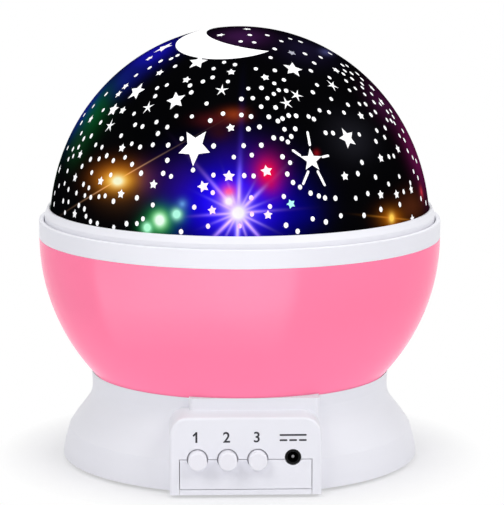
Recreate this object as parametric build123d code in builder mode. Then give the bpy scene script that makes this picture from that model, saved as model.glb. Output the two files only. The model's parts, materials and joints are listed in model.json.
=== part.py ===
"""A star night light projector: a ball on a flared base, with a lift-off star dome.

Millimetres, +Z up. The origin is on the floor under the middle of the base, and the buttons
face -Y. The globe (bowl, rim and dome) turns about +Z on a fixed hollow column.
"""

from build123d import *
import os
from math import atan2, cos, pi, radians, sin, sqrt, tan

# ---- Globe
globe_r = 60.0
bowl_wall = 2.0
bowl_floor_t = 2.0

# ---- Star dome
dome_h = 59.3
dome_wall = 1.5
dome_foot_rise = 3.0

# ---- Rim collar, dome ring and light plate
collar_h = 5.5
collar_wall = 1.4
collar_edge_r = 0.35
spigot_depth = 4.2
spigot_wall = 2.2
ledge_drop = 3.9
ring_wall = 1.5
ring_h = 7.1
ring_taper_h = 2.0
ring_taper = 0.8
ring_edge_r = 0.4
ring_lip_w = 3.0
plate_t = 1.5

# ---- Base shell
base_r = 53.4
base_wall = 2.0
foot_proud = 1.0
band_in = 1.9
band_h = 8.3
band_bulge = 0.23
neck_r = 44.7
neck_h = 25.9
cove_in = 0.3
cove_h = 21.9
cove_low_share = 0.67
cove_pull_low = 7.6
cove_pull_high = 6.2
cable_room = 1.25
deck_t = 1.8

# ---- Control panel on the front of the base
panel_proud = 1.1
panel_w = 43.2
panel_h = 22.5
panel_corner_r = 5.3
panel_edge_r = 0.8
pad_w = 37.4
pad_shift = 2.8
pad_proud = 0.5
pad_edge_r = 1.6
insert_w = 37.8
insert_rib_w = 2.0
insert_rib_depth = 5.5
control_h = 10.4
button_r = 2.7
button_flange_r = 3.4
button_flange_t = 1.0
button_edge_r = 0.5
button_first_x = -13.7
button_pitch = 8.55
button_count = 3
button_proud = 3.5
button_travel = 1.5
jack_x = 13.4
jack_rise = 0.5
jack_r = 2.15
jack_bore_r = 1.6
jack_w = 8.0
jack_body_h = 7.2
jack_depth = 10.0
jack_back_t = 2.0
jack_pin_r = 0.5

# ---- Control board and switches
board_t = 1.6
board_w = 35.0
board_gap = 2.1
board_depth = 19.0
board_screw_x = 13.0
board_post_r = 2.4
switch_w = 7.0
switch_depth = 8.0
switch_gap = 4.8
plunger_r = 1.2
plunger_reach = 4.5

# ---- Bottom cover, battery bay and feet
cover_t = 1.5
bay_wall = 1.3
bay_roof_t = 1.0
cell_r = 5.25
cell_len = 44.5
cell_nub_r = 1.9
cell_nub_len = 0.8
cell_gap = 0.15
contact_room = 2.6
contact_t = 0.35
contact_w = 7.0
door_lap = 0.8
door_ear_w = 8.0
door_ear_len = 8.5
door_shelf_t = 1.5
door_screw_len = 6.5
foot_r = 4.5
foot_recess = 0.5
foot_margin = 2.6
foot_count = 4

# ---- Screws
screw_r = 1.15
screw_head_r = 2.4
screw_head_h = 1.5
screw_boss_r = 3.0
case_screw_margin = 4.7
case_screw_turn = 45.0
case_screw_count = 4
case_screw_len = 9.0
case_boss_gap = 1.9
small_screw_r = 1.0
small_head_r = 1.8
small_head_h = 1.2

# ---- Drive
gear_module = 0.8
pressure_angle = 20.0
tooth_addendum = 0.8
tooth_dedendum = 1.1
pinion_teeth = 14
gear_face = 3.6
gear_rim_w = 4.12
gear_screw_count = 4
gear_screw_turn = 45.0
motor_r = 9.0
gearbox_h = 6.6
motor_can_r = 7.5
motor_can_h = 4.6
motor_ear_len = 4.6
motor_ear_w = 5.5
motor_ear_t = 1.5
shaft_r = 1.5
shaft_seat = 3.4
shaft_hole_r = 3.0

# ---- Column, bearing and lamp
column_r = 7.0
column_bore_r = 5.0
column_flange_r = 15.0
column_flange_t = 2.0
column_screw_pitch_r = 12.6
column_screw_count = 3
column_screw_turn = 30.0
washer_r = 10.4
washer_t = 0.9
hub_r = 10.0
hub_flange_r = 13.0
hub_flange_t = 2.1
hub_h = 7.6
clip_r = 9.3
clip_t = 1.0
clip_groove = 0.8
lamp_r = 15.5
lamp_drop = 0.9
lamp_deck_t = 2.0
lamp_rim_h = 3.5
lamp_rim_w = 1.5
lamp_socket_h = 8.0
lamp_socket_wall = 2.0
lamp_hole_r = 3.0
plate_hole_gap = 1.5
led_r = 2.5
led_h = 5.5
led_pitch_r = 5.2
reflector_low_r = 8.8
reflector_high_r = 12.8
reflector_h = 4.0
reflector_t = 0.8
ribbon_w = 4.5
ribbon_t = 0.8
ribbon_bend_r = 3.0
ribbon_end_gap = 4.0

# ---- Fits
seam = 0.2
slide_fit = 0.3
running_fit = 0.06
press_fit = 0.02
globe_gap = 0.3
backlash = 0.08
play = 0.1

# ---- Heights and places worked out from the above
neck_z = foot_proud + neck_h
rim_z = neck_z + sqrt(globe_r**2 - neck_r**2)
dome_foot_z = rim_z + dome_foot_rise
collar_top_z = rim_z + collar_h
ledge_z = collar_top_z - ledge_drop
ring_r = globe_r - collar_wall - slide_fit
dome_r = ring_r - ring_wall
ring_foot_z = ledge_z + seam
ring_top_z = ring_foot_z + ring_h
bowl_inner_r = globe_r - bowl_wall
spigot_foot_z = rim_z - spigot_depth
spigot_r = sqrt(bowl_inner_r**2 - spigot_depth**2) - seam
plate_z = spigot_foot_z - seam - plate_t
plate_r = sqrt(bowl_inner_r**2 - (rim_z - plate_z) ** 2) - seam

cover_top_z = foot_proud + cover_t
cover_r = base_r - base_wall - slide_fit
foot_pitch_r = cover_r - foot_margin - foot_r
case_screw_pitch_r = neck_r - case_screw_margin
band_r = base_r - band_in
band_top_z = foot_proud + band_h
cove_r = neck_r - cove_in
cove_z = foot_proud + cove_h
panel_y = base_r + panel_proud
panel_top_z = foot_proud + panel_h
face_back_y = panel_y - base_wall
hollow_w = panel_w - 2 * base_wall
hollow_top_z = panel_top_z - base_wall
pad_low_z = panel_top_z - panel_corner_r
bump_back_y = sqrt(cove_r**2 - (panel_w / 2) ** 2)
control_z = foot_proud + control_h
jack_z = control_z + jack_rise
button_xs = [button_first_x + i * button_pitch for i in range(button_count)]
button_hole_r = button_r + slide_fit
jack_hole_r = jack_r + seam
jack_at = [(jack_x, jack_z)]
jack_face_y = panel_y - seam
flange_y = face_back_y - seam
flange_back_y = flange_y - button_flange_t
switch_y = flange_back_y - switch_gap
jack_bore_end_y = flange_y - jack_depth + jack_back_t
board_front_y = flange_back_y - board_gap
board_z = control_z - switch_w / 2 - board_t
board_top_z = board_z + board_t
jack_body_top_z = board_top_z + jack_body_h
board_back_y = board_front_y - board_depth
board_screw_y = board_back_y + board_post_r
board_screws_at = [(-board_screw_x, -board_screw_y), (board_screw_x, -board_screw_y)]
insert_foot_z = cover_top_z + seam

gear_teeth = round(2 * (neck_r - base_wall - play - motor_r) / gear_module) - pinion_teeth
gear_r = gear_module * gear_teeth / 2
pinion_r = gear_module * pinion_teeth / 2
shaft_y = gear_r + pinion_r
shaft_at = [(0, shaft_y)]

cell_pitch = 2 * cell_r + cell_gap
cell_count = int((2 * (shaft_y - motor_r - play - bay_wall) - cell_gap) / cell_pitch)
bay_half_x = cell_len / 2 + contact_room
bay_half_y = (cell_count * cell_pitch + cell_gap) / 2
cell_z = cover_top_z + seam + cell_r
bay_roof_z = cell_z + cell_r + cell_gap
bay_top_z = bay_roof_z + bay_roof_t
deck_z = bay_top_z + cable_room
deck_top_z = deck_z + deck_t
cell_ys = [(i - (cell_count - 1) / 2) * cell_pitch for i in range(cell_count)]
door_half_x = bay_half_x + door_lap
door_half_y = bay_half_y + door_lap
door_screw_x = door_half_x + door_ear_len - door_ear_w / 2
door_screw_at = [(door_screw_x, 0)]
case_boss_z = cover_top_z + case_boss_gap
case_head_z = case_boss_z - seam - screw_head_h / 2
case_recess_r = screw_head_r + slide_fit

washer_z = deck_top_z + column_flange_t
hub_z = washer_z + washer_t + play
bowl_floor_z = hub_z + hub_flange_t
bowl_floor_top_z = bowl_floor_z + bowl_floor_t

gear_z = bowl_floor_z - gear_face
gear_root_r = gear_r - tooth_dedendum * gear_module
gear_bore_r = gear_root_r - gear_rim_w
gear_screw_pitch_r = (gear_bore_r + gear_root_r) / 2
pinion_top_z = bowl_floor_z - 2 * seam
pinion_z = (deck_top_z + gear_z) / 2
gearbox_z = deck_z - play - gearbox_h
gearbox_top_z = gearbox_z + gearbox_h
shaft_seat_z = gearbox_top_z - shaft_seat
motor_ear_x = motor_r + motor_ear_len - motor_ear_w / 2
motor_screws_at = [(-motor_ear_x, shaft_y), (motor_ear_x, shaft_y)]

hub_top_z = hub_z + hub_h
clip_z = hub_top_z + play
lamp_deck_z = rim_z - lamp_drop
lamp_top_z = lamp_deck_z + lamp_deck_t
led_z = lamp_top_z + board_t
ribbon_z = (bay_top_z + deck_z) / 2
ribbon_end_y = board_back_y + ribbon_end_gap

dome_steps = 12
led_names = ("led_white", "led_red", "led_green", "led_blue")
LOW = (Align.CENTER, Align.CENTER, Align.MIN)
CORNER = (Align.MIN, Align.MIN)
STANDING = (Align.CENTER, Align.MIN)


# ---- Shapes that several pieces share
def ring(inner_r, outer_r, low_z, high_z, mode=Mode.ADD):
    """A flat ring, or a disc where inner_r is 0."""
    with BuildSketch(Plane.XY.offset(low_z)) as outline:
        Circle(outer_r)
        if inner_r:
            Circle(inner_r, mode=Mode.SUBTRACT)
    extrude(outline.sketch, amount=high_z - low_z, mode=mode)


def posts(places, radius, low_z, high_z, mode=Mode.ADD):
    """Upright round posts, or holes, at a list of places."""
    with BuildSketch(Plane.XY.offset(low_z)) as outline:
        with Locations(*places):
            Circle(radius)
    extrude(outline.sketch, amount=high_z - low_z, mode=mode)


def block(width, near_y, far_y, low_z, high_z, mode=Mode.ADD, centre_x=0.0):
    """A block between two distances in front of the axis, near_y being the front one."""
    with BuildSketch(Plane.XY.offset(low_z)) as outline:
        with Locations((centre_x, -near_y)):
            Rectangle(width, near_y - far_y, align=STANDING)
    extrude(outline.sketch, amount=high_z - low_z, mode=mode)


def bars(places, radius, near_y, far_y, mode=Mode.ADD):
    """Round bars, or holes, along Y at a list of (x, z) places in front of the axis."""
    with BuildSketch(Plane.XZ.offset(far_y)) as outline:
        with Locations(*places):
            Circle(radius)
    extrude(outline.sketch, amount=near_y - far_y, mode=mode)


def ball_slice(radius, low_z, high_z, mode=Mode.ADD):
    """The slice between two heights of a ball about the middle of the rim."""
    with BuildSketch(Plane.XZ) as outline:
        with Locations((0, rim_z)):
            Circle(radius)
        with Locations((0, low_z)):
            Rectangle(2 * radius, high_z - low_z, align=CORNER, mode=Mode.INTERSECT)
    revolve(outline.sketch, axis=Axis.Z, mode=mode)


def dome_section(inset):
    """The quarter ellipse of the dome's outline, with its edge moved in by inset."""
    angles = [radians(90 * step / dome_steps) for step in range(dome_steps + 1)]
    points = [
        ((dome_r - inset) * cos(angle), dome_foot_z + (dome_h - inset) * sin(angle)) for angle in angles
    ]
    with BuildSketch() as section:
        with BuildLine():
            edge = Spline(*points)
            Polyline(edge @ 1, (0, dome_foot_z), edge @ 0)
        make_face()
    return section.sketch


def flared_body(inset, low_z, high_z, mode=Mode.ADD):
    """A slice of the base's outline, turned: a leaning band, then a cove up to the neck."""
    reach = cove_low_share * (band_r - cove_r)
    with BuildSketch(Plane.XZ) as outline:
        with BuildLine():
            band = ThreePointArc(
                (base_r - inset, foot_proud),
                ((base_r + band_r) / 2 + band_bulge - inset, (foot_proud + band_top_z) / 2),
                (band_r - inset, band_top_z),
            )
            cove = Bezier(
                band @ 1,
                (band_r - inset - reach, band_top_z + cove_pull_low),
                (cove_r - inset, cove_z - cove_pull_high),
                (cove_r - inset, cove_z),
            )
            neck = Line(cove @ 1, (neck_r - inset, neck_z))
            Polyline(neck @ 1, (0, neck_z), (0, foot_proud), band @ 0)
        make_face()
        with Locations((0, low_z)):
            Rectangle(2 * base_r, high_z - low_z, align=CORNER, mode=Mode.INTERSECT)
    revolve(outline.sketch, axis=Axis.Z, mode=mode)


def screws(places, seat_z, shank_r, shank_len, head_r, head_h, up=True):
    """Pan-head screws: the head sits on seat_z, and the shank goes up or down from it."""
    way = 1 if up else -1
    with BuildSketch(Plane.XY.offset(seat_z)) as heads:
        with Locations(*places):
            Circle(head_r)
    with BuildSketch(Plane.XY.offset(seat_z)) as shanks:
        with Locations(*places):
            Circle(shank_r)
    extrude(heads.sketch, amount=-way * head_h)
    extrude(shanks.sketch, amount=way * shank_len)


def around(pitch_r, count, start=0.0):
    """Places evenly spaced on a circle about the axis, start in degrees."""
    turns = [radians(start) + 2 * pi * i / count for i in range(count)]
    return [(pitch_r * cos(turn), pitch_r * sin(turn)) for turn in turns]


def tooth_half_angle(radius, pitch_r, teeth):
    """Half of an involute tooth's angle at a radius, in radians, thinned by the backlash."""
    alpha = radians(pressure_angle)
    base_circle_r = pitch_r * cos(alpha)
    here = sqrt(max(radius / base_circle_r, 1) ** 2 - 1)
    roll = (tan(alpha) - alpha) - (here - atan2(here, 1))
    return pi / (2 * teeth) + roll - backlash / (2 * pitch_r)


def gear_outline(teeth, first_angle, low_z):
    """A spur gear's outline, with one tooth centred at first_angle."""
    pitch_r = gear_module * teeth / 2
    tip_r = pitch_r + tooth_addendum * gear_module
    root_r = pitch_r - tooth_dedendum * gear_module
    radii = (root_r, (root_r + tip_r) / 2, tip_r)
    halves = [tooth_half_angle(r, pitch_r, teeth) for r in radii]
    right = [(r * cos(h), -r * sin(h)) for r, h in zip(radii, halves)]
    left = [(x, -y) for x, y in right]
    inside = root_r - tooth_addendum * gear_module
    with BuildSketch() as tooth:
        with BuildLine():
            ThreePointArc(*right)
            ThreePointArc(*left)
            Line(right[2], left[2])
            Polyline(right[0], (inside, right[0][1]), (inside, left[0][1]), left[0])
        make_face()
    with BuildSketch(Plane.XY.offset(low_z)) as outline:
        Circle(root_r)
        with PolarLocations(0, teeth, start_angle=first_angle):
            add(tooth.sketch)
    return outline.sketch


def save(piece, name):
    """Labels a finished piece and writes it."""
    piece.part.label = name
    export_step(piece.part, f"parts/{name}.step")


os.makedirs("parts", exist_ok=True)

case_screws_at = around(case_screw_pitch_r, case_screw_count, case_screw_turn)
feet_at = around(foot_pitch_r, foot_count)
column_screws_at = around(column_screw_pitch_r, column_screw_count, column_screw_turn)
gear_screws_at = around(gear_screw_pitch_r, gear_screw_count, gear_screw_turn)
leds_at = around(led_pitch_r, len(led_names))
controls_at = [(x, control_z) for x in button_xs]

# ---- Base shell: flared housing with the panel bump, the deck and the screw bosses
with BuildPart() as base_shell:
    with BuildSketch(Plane.XZ.offset(bump_back_y)):
        with Locations((0, foot_proud)):
            Rectangle(panel_w, panel_h, align=STANDING)
        fillet(vertices().group_by(Axis.Y)[-1], panel_corner_r)
    extrude(amount=panel_y - bump_back_y)
    fillet(faces().sort_by(Axis.Y)[0].edges().sort_by(Axis.Z)[1:], panel_edge_r)
    flared_body(0, foot_proud, neck_z)
    with BuildSketch(Plane.XY.offset(pad_low_z)):
        with Locations((pad_shift, -neck_r - pad_proud)):
            Rectangle(pad_w, neck_r / 2, align=STANDING)
        fillet(vertices().group_by(Axis.Y)[0], pad_edge_r)
    extrude(amount=neck_z - pad_low_z)
    flared_body(base_wall, foot_proud, deck_z, mode=Mode.SUBTRACT)
    flared_body(base_wall, deck_top_z, neck_z, mode=Mode.SUBTRACT)
    with BuildSketch(Plane.XZ.offset(neck_r + base_wall)):
        with Locations((0, foot_proud)):
            Rectangle(hollow_w, hollow_top_z - foot_proud, align=STANDING)
        fillet(vertices().group_by(Axis.Y)[-1], panel_corner_r - base_wall)
    extrude(amount=face_back_y - neck_r - base_wall, mode=Mode.SUBTRACT)
    block(hollow_w, face_back_y, bump_back_y, foot_proud, deck_z, mode=Mode.SUBTRACT)
    posts(case_screws_at, screw_boss_r, case_boss_z, deck_top_z)
    with Locations((0, 0, rim_z)):
        Sphere(globe_r + globe_gap, mode=Mode.SUBTRACT)
    ring(column_bore_r, cove_r, deck_z, deck_top_z)
    block(insert_w, panel_y, face_back_y, foot_proud, control_z, mode=Mode.SUBTRACT)
    bars(controls_at, button_hole_r, panel_y, face_back_y, mode=Mode.SUBTRACT)
    bars(jack_at, jack_hole_r, panel_y, face_back_y, mode=Mode.SUBTRACT)
    posts(case_screws_at, screw_r + press_fit, case_boss_z, deck_z, mode=Mode.SUBTRACT)
    posts(shaft_at, shaft_hole_r, deck_z, deck_top_z, mode=Mode.SUBTRACT)
    posts(motor_screws_at, small_screw_r + press_fit, deck_z, deck_top_z, mode=Mode.SUBTRACT)
    posts(column_screws_at, small_screw_r + press_fit, deck_z, deck_top_z, mode=Mode.SUBTRACT)
save(base_shell, "base_shell")

# ---- Bottom cover: plate, battery bay, board posts and screw bosses
with BuildPart() as bottom_cover:
    ring(0, cover_r, foot_proud, cover_top_z)
    block(insert_w - 2 * seam, panel_y, bump_back_y, foot_proud, cover_top_z)
    with BuildSketch(Plane.XY.offset(cover_top_z)):
        Rectangle(2 * (bay_half_x + bay_wall), 2 * (bay_half_y + bay_wall))
    extrude(amount=bay_top_z - cover_top_z)
    with BuildSketch(Plane.XY.offset(cover_top_z)):
        with Locations((bay_half_x, 0)):
            Rectangle(
                door_screw_x - bay_half_x + door_ear_w / 2 + bay_wall,
                door_ear_w + 2 * bay_wall,
                align=(Align.MIN, Align.CENTER),
            )
    extrude(amount=door_shelf_t)
    posts(door_screw_at, screw_boss_r, cover_top_z, cover_top_z + door_screw_len)
    posts(case_screws_at, case_recess_r + bay_wall, foot_proud, case_boss_z - seam)
    posts(board_screws_at, board_post_r, cover_top_z, board_z)
    with BuildSketch(Plane.XY.offset(foot_proud)):
        Rectangle(2 * bay_half_x, 2 * bay_half_y)
    extrude(amount=bay_roof_z - foot_proud, mode=Mode.SUBTRACT)
    with BuildSketch(Plane.XY.offset(foot_proud)):
        Rectangle(2 * door_half_x, 2 * door_half_y)
        with Locations((door_half_x, 0)):
            Rectangle(2 * door_ear_len, door_ear_w)
    extrude(amount=cover_t, mode=Mode.SUBTRACT)
    posts(door_screw_at, screw_r + running_fit, cover_top_z, bay_roof_z, mode=Mode.SUBTRACT)
    posts(case_screws_at, case_recess_r, foot_proud, case_head_z, mode=Mode.SUBTRACT)
    posts(case_screws_at, screw_r + slide_fit, foot_proud, case_boss_z, mode=Mode.SUBTRACT)
    posts(board_screws_at, small_screw_r + press_fit, cover_top_z, board_z, mode=Mode.SUBTRACT)
    posts(feet_at, foot_r + press_fit, foot_proud, foot_proud + foot_recess, mode=Mode.SUBTRACT)
save(bottom_cover, "bottom_cover")

with BuildPart() as rubber_feet:
    posts(feet_at, foot_r, 0, foot_proud + foot_recess)
    fillet(edges().group_by(Axis.Z)[0], foot_recess)
save(rubber_feet, "rubber_feet")

with BuildPart() as case_screws:
    screws(case_screws_at, case_head_z, screw_r, case_screw_len, screw_head_r, screw_head_h)
save(case_screws, "case_screws")

# ---- Battery door, its screw, the cells and their contacts
with BuildPart() as battery_door:
    with BuildSketch(Plane.XY.offset(foot_proud)):
        Rectangle(2 * (door_half_x - seam), 2 * (door_half_y - seam))
        with Locations((door_half_x, 0)):
            Rectangle(2 * (door_ear_len - seam), door_ear_w - 2 * seam)
    extrude(amount=cover_t - seam / 2)
    with Locations((door_screw_x, 0, foot_proud)):
        Cone(screw_head_r + seam, screw_r + seam, cover_t, align=LOW, mode=Mode.SUBTRACT)
save(battery_door, "battery_door")

with BuildPart() as door_screw:
    with Locations((door_screw_x, 0, foot_proud + seam)):
        Cone(screw_head_r, screw_r, cover_t - seam, align=LOW)
    posts(door_screw_at, screw_r, cover_top_z, cover_top_z + door_screw_len - seam)
save(door_screw, "door_screw")

with BuildPart() as battery_cells:
    for index, y in enumerate(cell_ys):
        way = 1 if index % 2 else -1
        with BuildSketch(Plane.YZ.offset(-way * cell_len / 2)) as can:
            with Locations((y, cell_z)):
                Circle(cell_r)
        with BuildSketch(Plane.YZ.offset(-way * cell_len / 2)) as nub:
            with Locations((y, cell_z)):
                Circle(cell_nub_r)
        extrude(can.sketch, amount=way * (cell_len - cell_nub_len))
        extrude(nub.sketch, amount=way * cell_len)
save(battery_cells, "battery_cells")

with BuildPart() as battery_contacts:
    wall_x = bay_half_x - contact_t
    tip_x = cell_len / 2 + contact_t
    for y in cell_ys:
        for side in (-1, 1):
            with BuildSketch(Plane.XZ.offset(-y - contact_w / 2)) as leaf:
                with BuildLine():
                    Polyline(
                        (side * wall_x, cell_z - cell_r + contact_t),
                        (side * wall_x, cell_z - cell_r / 2),
                        (side * tip_x, cell_z),
                        (side * wall_x, cell_z + cell_r / 2),
                        (side * wall_x, cell_z + cell_r - contact_t),
                    )
                trace(line_width=contact_t)
            extrude(leaf.sketch, amount=contact_w)
save(battery_contacts, "battery_contacts")

# ---- Button insert: the part of the panel below the buttons, with ribs under the board
with BuildPart() as button_insert:
    insert_half_w = insert_w / 2 - seam
    rib_x = insert_half_w - insert_rib_w / 2
    block(2 * insert_half_w, panel_y, face_back_y, insert_foot_z, control_z - seam)
    for x in (-rib_x, rib_x):
        block(
            insert_rib_w, face_back_y, face_back_y - insert_rib_depth, insert_foot_z, board_z, centre_x=x
        )
    bars(controls_at, button_hole_r, panel_y, face_back_y, mode=Mode.SUBTRACT)
    bars(jack_at, jack_hole_r, panel_y, face_back_y, mode=Mode.SUBTRACT)
save(button_insert, "button_insert")

# ---- Control board with its switches and power jack
with BuildPart() as control_board:
    block(board_w, board_front_y, board_back_y, board_z, board_top_z)
    posts(board_screws_at, small_screw_r + seam, board_z, board_top_z, mode=Mode.SUBTRACT)
save(control_board, "control_board")

with BuildPart() as board_screws:
    screws(
        board_screws_at,
        board_top_z,
        small_screw_r,
        board_top_z - cover_top_z - seam,
        small_head_r,
        small_head_h,
        up=False,
    )
save(board_screws, "board_screws")

with BuildPart() as switch_bodies:
    for x in button_xs:
        block(switch_w, switch_y, switch_y - switch_depth, board_top_z, board_top_z + switch_w, centre_x=x)
    bore_depth = plunger_reach + button_travel + slide_fit
    bars(controls_at, plunger_r + running_fit, switch_y, switch_y - bore_depth, mode=Mode.SUBTRACT)
save(switch_bodies, "switch_bodies")

with BuildPart() as dc_jack:
    block(jack_w, flange_y, flange_y - jack_depth, board_top_z, jack_body_top_z, centre_x=jack_x)
    bars(jack_at, jack_r, jack_face_y, flange_y)
    bars(jack_at, jack_bore_r, jack_face_y, jack_bore_end_y, mode=Mode.SUBTRACT)
save(dc_jack, "dc_jack")

with BuildPart() as dc_pin:
    bars(jack_at, jack_pin_r, jack_face_y - jack_pin_r, jack_bore_end_y)
    fillet(edges().group_by(Axis.Y)[0], jack_pin_r / 2)
save(dc_pin, "dc_pin")

# ---- Push buttons, each a cap with a flange behind the panel, and its switch plunger
for number, x in enumerate(button_xs, start=1):
    with BuildPart() as button:
        bars([(x, control_z)], button_r, panel_y + button_proud, flange_y)
        fillet(edges().group_by(Axis.Y)[0], button_edge_r)
        bars([(x, control_z)], button_flange_r, flange_y, flange_back_y)
    save(button, f"button_{number}")
    with BuildPart() as plunger:
        bars([(x, control_z)], plunger_r, flange_back_y, switch_y - plunger_reach)
    save(plunger, f"plunger_{number}")

# ---- Drive: motor and gearbox under the deck, pinion and shaft above it
with BuildPart() as gearbox:
    posts(shaft_at, motor_r, gearbox_z, gearbox_top_z)
    block(
        2 * (motor_r + motor_ear_len),
        -shaft_y + motor_ear_w / 2,
        -shaft_y - motor_ear_w / 2,
        gearbox_top_z - motor_ear_t,
        gearbox_top_z,
    )
    posts(motor_screws_at, small_screw_r + seam, gearbox_z, gearbox_top_z, mode=Mode.SUBTRACT)
    posts(shaft_at, shaft_r + running_fit, shaft_seat_z, gearbox_top_z, mode=Mode.SUBTRACT)
save(gearbox, "gearbox")

with BuildPart() as motor_can:
    posts(shaft_at, motor_can_r, gearbox_z - motor_can_h, gearbox_z)
    fillet(edges().group_by(Axis.Z)[0], motor_ear_t / 2)
save(motor_can, "motor_can")

with BuildPart() as motor_screws:
    screws(
        motor_screws_at,
        gearbox_top_z - motor_ear_t,
        small_screw_r,
        motor_ear_t + deck_t,
        small_head_r,
        small_head_h,
    )
save(motor_screws, "motor_screws")

with BuildPart() as motor_shaft:
    posts(shaft_at, shaft_r, shaft_seat_z + play, pinion_top_z)
save(motor_shaft, "motor_shaft")

with BuildPart() as drive_pinion:
    with BuildSketch(Plane.XY.offset(pinion_z)):
        with Locations((0, shaft_y)):
            add(gear_outline(pinion_teeth, -90 + 180 / pinion_teeth, 0))
    extrude(amount=pinion_top_z - pinion_z)
    posts(shaft_at, shaft_r + press_fit, pinion_z, pinion_top_z, mode=Mode.SUBTRACT)
save(drive_pinion, "drive_pinion")

with BuildPart() as ring_gear:
    extrude(gear_outline(gear_teeth, 90, gear_z), amount=gear_face)
    posts([(0, 0)], gear_bore_r, gear_z, bowl_floor_z, mode=Mode.SUBTRACT)
    posts(gear_screws_at, small_screw_r + press_fit, gear_z, bowl_floor_z, mode=Mode.SUBTRACT)
save(ring_gear, "ring_gear")

with BuildPart() as gear_screws:
    screws(
        gear_screws_at,
        bowl_floor_top_z,
        small_screw_r,
        bowl_floor_t + gear_face - seam,
        small_head_r,
        small_head_h,
        up=False,
    )
save(gear_screws, "gear_screws")

# ---- Column, thrust washer, hub bush and retaining clip
with BuildPart() as led_column:
    ring(column_bore_r, column_r, deck_top_z, lamp_deck_z - play)
    ring(column_bore_r, column_flange_r, deck_top_z, washer_z)
    ring(column_r - clip_groove, column_r, clip_z, clip_z + clip_t + play, mode=Mode.SUBTRACT)
    with Locations(*[(x, y, deck_top_z) for x, y in column_screws_at]):
        Cone(small_screw_r + seam, small_head_r + seam, column_flange_t, align=LOW, mode=Mode.SUBTRACT)
save(led_column, "led_column")

with BuildPart() as column_screws:
    with Locations(*[(x, y, washer_z - small_head_h) for x, y in column_screws_at]):
        Cone(small_screw_r, small_head_r, small_head_h - play, align=LOW)
    posts(column_screws_at, small_screw_r, deck_z, washer_z - small_head_h)
save(column_screws, "column_screws")

with BuildPart() as thrust_washer:
    ring(column_r + running_fit, washer_r, washer_z, washer_z + washer_t)
save(thrust_washer, "thrust_washer")

with BuildPart() as hub_bush:
    ring(column_r + running_fit, hub_r, hub_z, hub_top_z)
    ring(column_r + running_fit, hub_flange_r, hub_z, bowl_floor_z)
save(hub_bush, "hub_bush")

with BuildPart() as retaining_clip:
    ring(column_r - clip_groove + press_fit, clip_r, clip_z, clip_z + clip_t)
    block(column_r, clip_r, 0, clip_z, clip_z + clip_t, mode=Mode.SUBTRACT)
save(retaining_clip, "retaining_clip")

# ---- Lamp: carrier, board, reflector, four LEDs and the flat cable that feeds them
with BuildPart() as led_carrier:
    ring(lamp_hole_r, lamp_r, lamp_deck_z, lamp_top_z)
    ring(column_r + press_fit, column_r + lamp_socket_wall, lamp_deck_z - lamp_socket_h, lamp_deck_z)
    ring(lamp_r - lamp_rim_w, lamp_r, lamp_top_z, lamp_top_z + lamp_rim_h)
save(led_carrier, "led_carrier")

with BuildPart() as led_board:
    ring(0, lamp_r - lamp_rim_w - seam, lamp_top_z, led_z)
save(led_board, "led_board")

with BuildPart() as reflector:
    with BuildSketch(Plane.XZ):
        with BuildLine():
            Polyline(
                (reflector_low_r, led_z),
                (reflector_low_r + reflector_t, led_z),
                (reflector_high_r + reflector_t, led_z + reflector_h),
                (reflector_high_r, led_z + reflector_h),
                close=True,
            )
        make_face()
    revolve(axis=Axis.Z)
save(reflector, "reflector")

for name, (x, y) in zip(led_names, leds_at):
    with BuildPart() as led:
        with Locations((x, y, led_z)):
            Cylinder(led_r, led_h - led_r, align=LOW)
        with Locations((x, y, led_z + led_h - led_r)):
            Sphere(led_r)
    save(led, name)

with BuildPart() as led_cable:
    with BuildSketch(Plane.YZ.offset(-ribbon_w / 2)):
        with BuildLine():
            FilletPolyline(
                (0, lamp_top_z),
                (0, ribbon_z),
                (-ribbon_end_y, ribbon_z),
                (-ribbon_end_y, board_top_z),
                radius=ribbon_bend_r,
            )
        trace(line_width=ribbon_t)
    extrude(amount=ribbon_w)
save(led_cable, "led_cable")

# ---- Globe: bowl, light plate and rim collar
with BuildPart() as bowl:
    ball_slice(globe_r, bowl_floor_z, rim_z - seam / 2)
    ball_slice(bowl_inner_r, bowl_floor_top_z, rim_z, mode=Mode.SUBTRACT)
    ring(0, hub_r + press_fit, bowl_floor_z, bowl_floor_top_z, mode=Mode.SUBTRACT)
    posts(gear_screws_at, small_screw_r + seam, bowl_floor_z, bowl_floor_top_z, mode=Mode.SUBTRACT)
save(bowl, "bowl")

with BuildPart() as light_plate:
    ring(lamp_r + plate_hole_gap, plate_r, plate_z, plate_z + plate_t)
save(light_plate, "light_plate")

with BuildPart() as rim_collar:
    ring(spigot_r - spigot_wall, globe_r, ledge_z - spigot_wall, collar_top_z)
    ring(0, globe_r, ledge_z - spigot_wall, rim_z + seam / 2, mode=Mode.SUBTRACT)
    ring(spigot_r - spigot_wall, spigot_r, spigot_foot_z, ledge_z)
    ring(0, globe_r - collar_wall, ledge_z, collar_top_z, mode=Mode.SUBTRACT)
    fillet(edges().group_by(Axis.Z)[-1], collar_edge_r)
save(rim_collar, "rim_collar")

# ---- Star dome and the ring it is bonded to, which lift off the rim collar together
with BuildPart() as star_dome:
    with BuildSketch(Plane.XZ):
        add(dome_section(0))
        add(dome_section(dome_wall), mode=Mode.SUBTRACT)
    revolve(axis=Axis.Z)
save(star_dome, "star_dome")

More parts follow.
